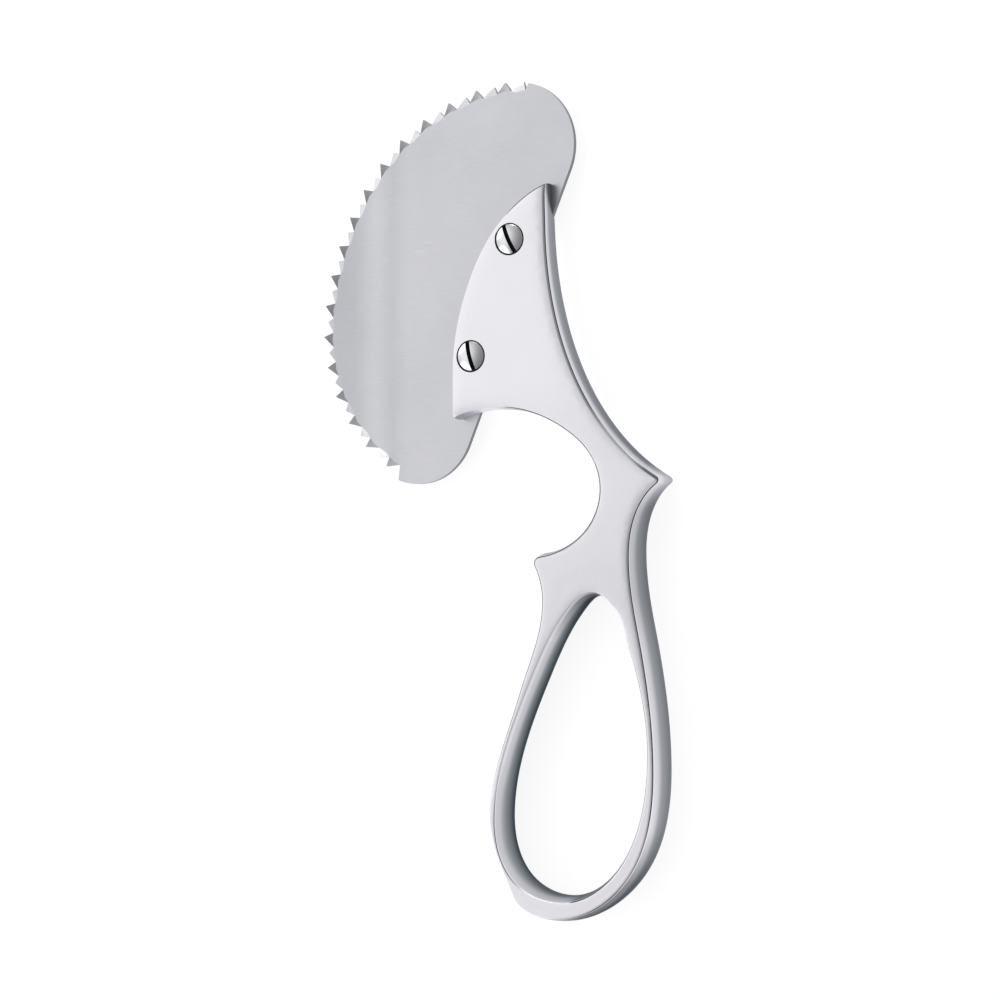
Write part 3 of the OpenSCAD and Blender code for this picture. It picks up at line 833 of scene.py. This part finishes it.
# The table: matt white board, wide enough to fill the view. It gives off a part of its white
# itself, but only to the eye and to mirror images, so that the saw still casts its shadow.
table_half, board_glow = 4, 0.88
mesh = bpy.data.meshes.new("table")
mesh.from_pydata([(x * table_half, y * table_half, 0)
                  for x, y in ((-1, -1), (1, -1), (1, 1), (-1, 1))], [], [(0, 1, 2, 3)])
table = bpy.data.objects.new("table", mesh)
bpy.context.scene.collection.objects.link(table)
board, tree = new_material("matt white board")
rays = add_node(tree, "ShaderNodeLightPath").outputs
seen = rays["Is Camera Ray"]
for ray in ("Is Glossy Ray", "Is Transmission Ray"):
    seen = add_node(tree, "ShaderNodeMath", {"operation": "MAXIMUM"},
                    {0: seen, 1: rays[ray]}).outputs[0]
glow = add_node(tree, "ShaderNodeMath", {"operation": "MULTIPLY", 1: board_glow}, {0: seen})
paper = add_node(tree, "ShaderNodeBsdfDiffuse", {"Color": linear("#909090")})
lift = add_node(tree, "ShaderNodeEmission", {"Color": (1, 1, 1, 1)},
                {"Strength": glow.outputs[0]})
both = add_node(tree, "ShaderNodeAddShader", {}, {0: paper.outputs[0], 1: lift.outputs[0]})
add_node(tree, "ShaderNodeOutputMaterial", {}, {"Surface": both.outputs[0]})
table.data.materials.append(board)

# Soft studio light: a bright sky to the upper left that fades to the right, as from a large
# window of tracing paper, pale walls that lift the horizon, and four broad lamps.
window_way = Vector((-0.68, 0.2, 0.70)).normalized()
# Brightness of the sky, by the cosine of the angle to the middle of the window
sky_levels = ((-1.0, 0.24), (-0.7, 0.24), (-0.3, 0.24), (0.0, 0.23), (0.3, 0.22), (0.5, 0.28),
              (0.7, 0.44), (0.85, 0.7), (0.91, 0.86), (0.96, 1.0), (1.0, 1.0))
wall_top, wall_level = 0.4, 0.4
world = bpy.data.worlds.new("studio")
bpy.context.scene.world = world
world.use_nodes = True
tree = world.node_tree
tree.nodes.clear()
toward = add_node(tree, "ShaderNodeTexCoord").outputs["Generated"]
facing = add_node(tree, "ShaderNodeVectorMath", {"operation": "DOT_PRODUCT", 1: window_way},
                  {0: toward})
sky_range = add_node(tree, "ShaderNodeMapRange", {"From Min": -1.0, "From Max": 1.0},
                     {"Value": facing.outputs["Value"]})
sky = add_node(tree, "ShaderNodeFloatCurve", {}, {"Value": sky_range.outputs[0]})
curve = sky.mapping.curves[0]
for point, (t, level) in zip(curve.points, (sky_levels[0], sky_levels[-1])):
    point.location = (t + 1) / 2, level
for t, level in sky_levels[1:-1]:
    curve.points.new((t + 1) / 2, level)
sky.mapping.update()
height = add_node(tree, "ShaderNodeSeparateXYZ", {}, {"Vector": toward}).outputs["Z"]
walls = add_node(tree, "ShaderNodeMapRange",
                 {"From Min": wall_top, "From Max": 0.0, "To Min": 0.0, "To Max": wall_level},
                 {"Value": height})
whole = add_node(tree, "ShaderNodeMath", {"operation": "ADD"},
                 {0: sky.outputs[0], 1: walls.outputs[0]})
light = add_node(tree, "ShaderNodeBackground", {"Color": (1, 1, 1, 1)},
                 {"Strength": whole.outputs[0]})
add_node(tree, "ShaderNodeOutputWorld", {}, {"Surface": light.outputs[0]})

# Each lamp has its place and its width in metres, and its power in watts
for name, stand, width, power in (("upper lamp", (-0.05, 1.2, 0.2), 1.0, 9.0),
                                  ("left lamp", (-0.8, -0.6, 0.5), 0.9, 2.6),
                                  ("far lamp", (-1.0, 0.55, 0.25), 0.9, 1.0),
                                  ("lower lamp", (0.1, -1.15, 0.3), 0.5, 0.8)):
    lamp = bpy.data.lights.new(name, "AREA")
    lamp.shape, lamp.size, lamp.energy = "DISK", width, power
    lamp_object = bpy.data.objects.new(name, lamp)
    bpy.context.scene.collection.objects.link(lamp_object)
    lamp_object.location = stand
    lamp_object.rotation_euler = (-Vector(stand)).to_track_quat("-Z", "Y").to_euler()

# The camera stands 27 degrees to the right of the saw's face, 450 mm away, level along the saw,
# and the picture is 179.4 mm wide where it aims.
turn, distance, view_width = math.radians(27), 0.450, 0.1794
aim = Vector((0.00223, -0.00033, 0.004))
away = Vector((math.sin(turn), 0, math.cos(turn)))
right = Vector((math.cos(turn), 0, -math.sin(turn)))
camera = bpy.data.cameras.new("camera")
camera.type = "PERSP"
camera.sensor_width = 36
camera.lens = camera.sensor_width * distance / view_width
camera.clip_start, camera.clip_end = 0.01, 20
camera_object = bpy.data.objects.new("camera", camera)
bpy.context.scene.collection.objects.link(camera_object)
placed = Matrix((right, Vector((0, 1, 0)), away)).transposed().to_4x4()
placed.translation = aim + distance * away
camera_object.matrix_world = placed
bpy.context.scene.camera = camera_object
bpy.context.scene.view_settings.view_transform = "Standard"
